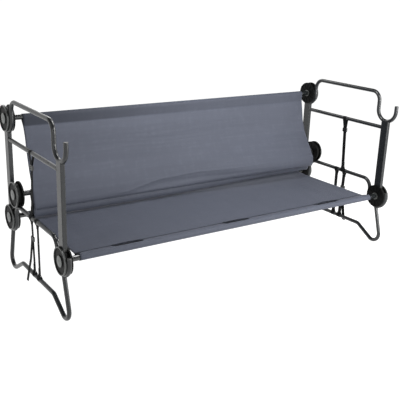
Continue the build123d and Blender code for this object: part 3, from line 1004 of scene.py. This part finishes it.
deck_row = (front_seam_row + rear_seam_row) // 2
seat_up = np.sign(grid_normals(seat_grid)[10, deck_row, 2])
seat_stitches = stitches(
    "seat_stitches", seat_grid,
    [front_seam_row + 2, front_seam_row + 3, rear_seam_row - 1, rear_seam_row - 2],
    front_seam_row, rear_seam_row, seat_up, "root")
slope_row = (top_seam_row + low_seam_row) // 3
backrest_out = -np.sign(grid_normals(backrest_grid)[10, slope_row, 1])
backrest_stitches = stitches(
    "backrest_stitches", backrest_grid,
    [top_seam_row, top_seam_row + 2, low_seam_row, low_seam_row - 2],
    top_seam_row, low_seam_row, backrest_out, "backrest")

# %% [markdown]
# ## Hems, and black strips as painted shade
# The ends of a sling are turned under, which doubles the cloth there. Black strips paint
# the shade along the seat's front seam and at its sleeve's ends, and each slot is lined with
# the same strip, so it reads as a dark mouth. All of these are thin strips that lie on the
# slings' own grids.

# %% Hems and strips of painted shade
seam_shade_w = 4.5 * mm
sleeve_end_shade_w = 34 * mm  # black strip as painted shade at the sleeve's ends, in front of the seam
slot_shade_w = 37 * mm  # black strip as painted shade under a slot
on_cloth = (cloth_t + strip_t) * 0.52  # middle of the cloth to that of a strip on it
under_slot = (cloth_t + strip_t) * 0.6  # the same with more air
seam_length = seat_across[front_seam_row]
slot_shade_places = np.arange(hem_tail + 1 * mm, hem_tail + 1 * mm + slot_shade_w, 4 * mm)
# painted shade: black strips under the slots, along the front seam and at the sleeve's ends
slot_shade = [on_sheet(seat_grid[first - 1:last + 2], seat_across, slot_shade_places,
                    -seat_up * under_slot) for first, last, _, _ in slots]
seam_shade = on_sheet(seat_grid, seat_across, seam_length + np.linspace(0.5 * mm, seam_shade_w, 3),
                seat_up * on_cloth)
sleeve_end_shade = on_sheet(seat_grid, seat_across, np.linspace(seam_length - sleeve_end_shade_w, seam_length, 9),
                 seat_up * on_cloth)
seat_shade_strips = strip_pieces("seat_shade_strips", slot_shade + [seam_shade[1:-1], sleeve_end_shade[:3], sleeve_end_shade[-3:]], shade_strip_finish,
                         "root")


def end_hems(name, grid, lengths, first, last, lift, body):
    """The cloth turned under at both ends of a sling, in two layers."""
    wide = round(side_hem / sheet_step_x) + 1
    places = np.linspace(lengths[first + 1], lengths[last - 1], last - first)
    under = on_sheet(grid, lengths, places, lift)
    return strip_pieces(name, [under[:wide], under[-wide:]], cloth_finish, body)


seat_hems = end_hems("seat_hems", seat_grid, seat_across, front_seam_row + 3, rear_seam_row - 3,
                     -seat_up * on_cloth, "root")
backrest_hems = end_hems("backrest_hems", backrest_grid, backrest_across, top_seam_row + 3,
                         low_seam_row - 3, -backrest_out * on_cloth, "backrest")

# %% Hand the slings to their bodies
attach(seat_sling, "root")
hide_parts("seat_sling")
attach(backrest_sling, "backrest")
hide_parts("backrest_sling")

# %% [markdown]
# ## Webbing
# Black webbing ties the upper frame down to the lower one, and steadies the lower frame. A
# second tree sweeps a flat section along a path that says which way the webbing's width
# lies. It stores how far along and across each point is, which the weave's pattern reads.

# %% Geometry Nodes: webbing along a path


def webbing_tree():
    """Flat webbing along a path: inputs Width, Thickness and Finish."""
    tree, given, path, side = path_tree("webbing along a path", {
        "Width": 25 * mm, "Thickness": 1.6 * mm})
    aimed = add_node(tree, "GeometryNodeSetCurveNormal", {
        "Curve": path, "Normal": side}, mode="FREE")
    length = add_node(tree, "GeometryNodeSplineParameter")
    marked = add_node(tree, "GeometryNodeStoreNamedAttribute", {
        "Geometry": aimed, "Name": "along", "Value": length.outputs["Length"]},
        data_type="FLOAT", domain="POINT")
    section = add_node(tree, "GeometryNodeCurvePrimitiveQuadrilateral", {
        "Width": given["Width"], "Height": given["Thickness"]})
    fine = add_node(tree, "GeometryNodeResampleCurve", {
        "Curve": section, "Length": 1.5 * mm}, mode="LENGTH")
    apart = add_node(tree, "ShaderNodeSeparateXYZ", {
        0: add_node(tree, "GeometryNodeInputPosition")})
    crossed = add_node(tree, "GeometryNodeStoreNamedAttribute", {
        "Geometry": fine, "Name": "across", "Value": apart.outputs["X"]},
        data_type="FLOAT", domain="POINT")
    swept = add_node(tree, "GeometryNodeCurveToMesh", {
        "Curve": marked, "Profile Curve": crossed, "Fill Caps": True})
    return end_tree(tree, given, swept)


webbing = webbing_tree()

# %% Straps
strap_w = 25 * mm
strap_t = 1.6 * mm
bar_wrap = tube_r + 0.1 * mm + strap_t / 2
post_reach = 66 * mm  # a cross bar's centre to where the webbing's layers meet
bar_reach = 26 * mm  # the same at the other bars
near = strap_t * 0.55  # from between the layers to the middle of each
straight = 20 * mm  # of the layer that runs from bar to bar, at both ends
short_end = 14 * mm  # the other layer's ends, above and below
long_end = 30 * mm


def strap_loop(z, heading, reach):
    """Line of webbing up to a bar, round it and back, in the plane square to the bar."""
    open_half = math.degrees(math.acos(bar_wrap / reach))
    return arc((0, z), bar_wrap, heading + open_half, heading + 360 - open_half, 15)


def strap_line(high_z, low_z, high_reach, low_reach):
    """One strap: both loops, with the two layers lying together between them."""
    top = high_z - high_reach
    foot = low_z + low_reach
    return [(near, top - short_end), (near, top), *strap_loop(high_z, -90, high_reach),
            (-near, top), (-near, top - straight), (-near, foot + straight), (-near, foot),
            *strap_loop(low_z, 90, low_reach), (near, foot), (near, foot + long_end)]


def strap_path(line, side, y_high, y_low):
    """Points of a strap's line at one end, leaning from one place along the bar to another."""
    line = softened(evenly(line, 4 * mm), 2)
    share = (line[:, 1] - line[:, 1].min()) / np.ptp(line[:, 1])
    y = (y_low + (y_high - y_low) * share) * mm
    return np.column_stack([side * (frame_x + line[:, 0]), y, line[:, 1]])


def straps_piece(name, paths, replaced):
    """Straps of one node, as one piece of webbing, its width along the bars."""
    piece = paths_piece(name, paths, [np.tile([0.0, 1.0, 0.0], (len(path), 1)) for path in paths])
    run_tree(piece, webbing, {"Width": strap_w, "Thickness": strap_t, "Finish": webbing_finish})
    smooth(piece.data)
    face_outwards(piece)
    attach(piece, "root")
    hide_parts(replaced)


# below one upper strap hang a strap with a buckle, a plain one and a buckle's tail
lower_line = strap_line(seat_bar_z, stretcher_z, bar_reach, bar_reach)
tail_line = [(4 * mm, 262 * mm), (12 * mm, 160 * mm), (tube_r + 14 * mm, 84 * mm),
             (tube_r + 20 * mm, 45 * mm)]
strap_lines = (strap_line(cross_bar_z, seat_bar_z, post_reach, bar_reach), lower_line,
               lower_line, tail_line)
# their places in mm along the bars, at the top and at the bottom, as they slant a little
strap_places = {"left": ((10, 46), (53, 38), (-24, -27), (48, 64)),
                "right": ((-14, -34), (-51, -40), (17, 13), (-48, -54))}

for end, side in ends.items():
    upper, *lower = (strap_path(line, side, *places)
                     for line, places in zip(strap_lines, strap_places[end]))
    straps_piece(f"upper_webbing_{end}", [upper], f"upper_strap_{end}")
    straps_piece(f"lower_webbing_{end}", lower, f"lower_straps_{end}")

# %% [markdown]
# ## Welds
# Where one tube meets another, a welder has left a ring of overlapping ripples. A formula
# gives the line in which the two tubes cut each other, and the tree for ovals lays the
# ripples on it.

# %% Weld ripples
ripple = {"Spacing": 3 * mm, "Length": 5 * mm, "Width": 4.5 * mm, "Height": 3 * mm,
          "Finish": bpy.data.materials["anthracite powder coat"]}
turn = np.linspace(0, 2 * math.pi, 49)  # once round a ring
hook_lean = 0.6  # how far the ripples lean down under a hook
post_lean = 0.8  # and in along a bar at a post
ring_cos, ring_sin = tube_r * np.cos(turn), tube_r * np.sin(turn)
ones = np.ones(len(turn))


def leg_weld(x, y):
    """Ring in which a leg's top meets the underside of a lower hook."""
    bottom = seat_z - np.sqrt(hook_r ** 2 - ring_sin ** 2)
    z = bottom - np.sqrt(np.maximum(0, tube_r ** 2 - ring_cos ** 2))
    outs = np.column_stack([np.cos(turn), np.sin(turn), ones * -hook_lean])
    return np.column_stack([x + ring_cos, y + ring_sin, z]), outs


def bar_weld(x, y):
    """Ring in which a cross bar meets a post's flat face."""
    outs = np.column_stack([np.cos(turn), ones * -np.sign(y) * post_lean, np.sin(turn)])
    return np.column_stack([x + ring_cos, ones * y, cross_bar_z + ring_sin]), outs


weld_rings = []
bar_half = half_size("cross_bar_left").y
for side in ends.values():
    for way in (-1, 1):
        weld_rings.append(leg_weld(side * frame_x, way * rail_y))
        weld_rings.append(bar_weld(side * frame_x, way * bar_half))
welds = paths_piece("weld_ripples", *zip(*weld_rings))
run_tree(welds, ovals, ripple)
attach(welds, "root")
print(len(weld_rings), "welds")
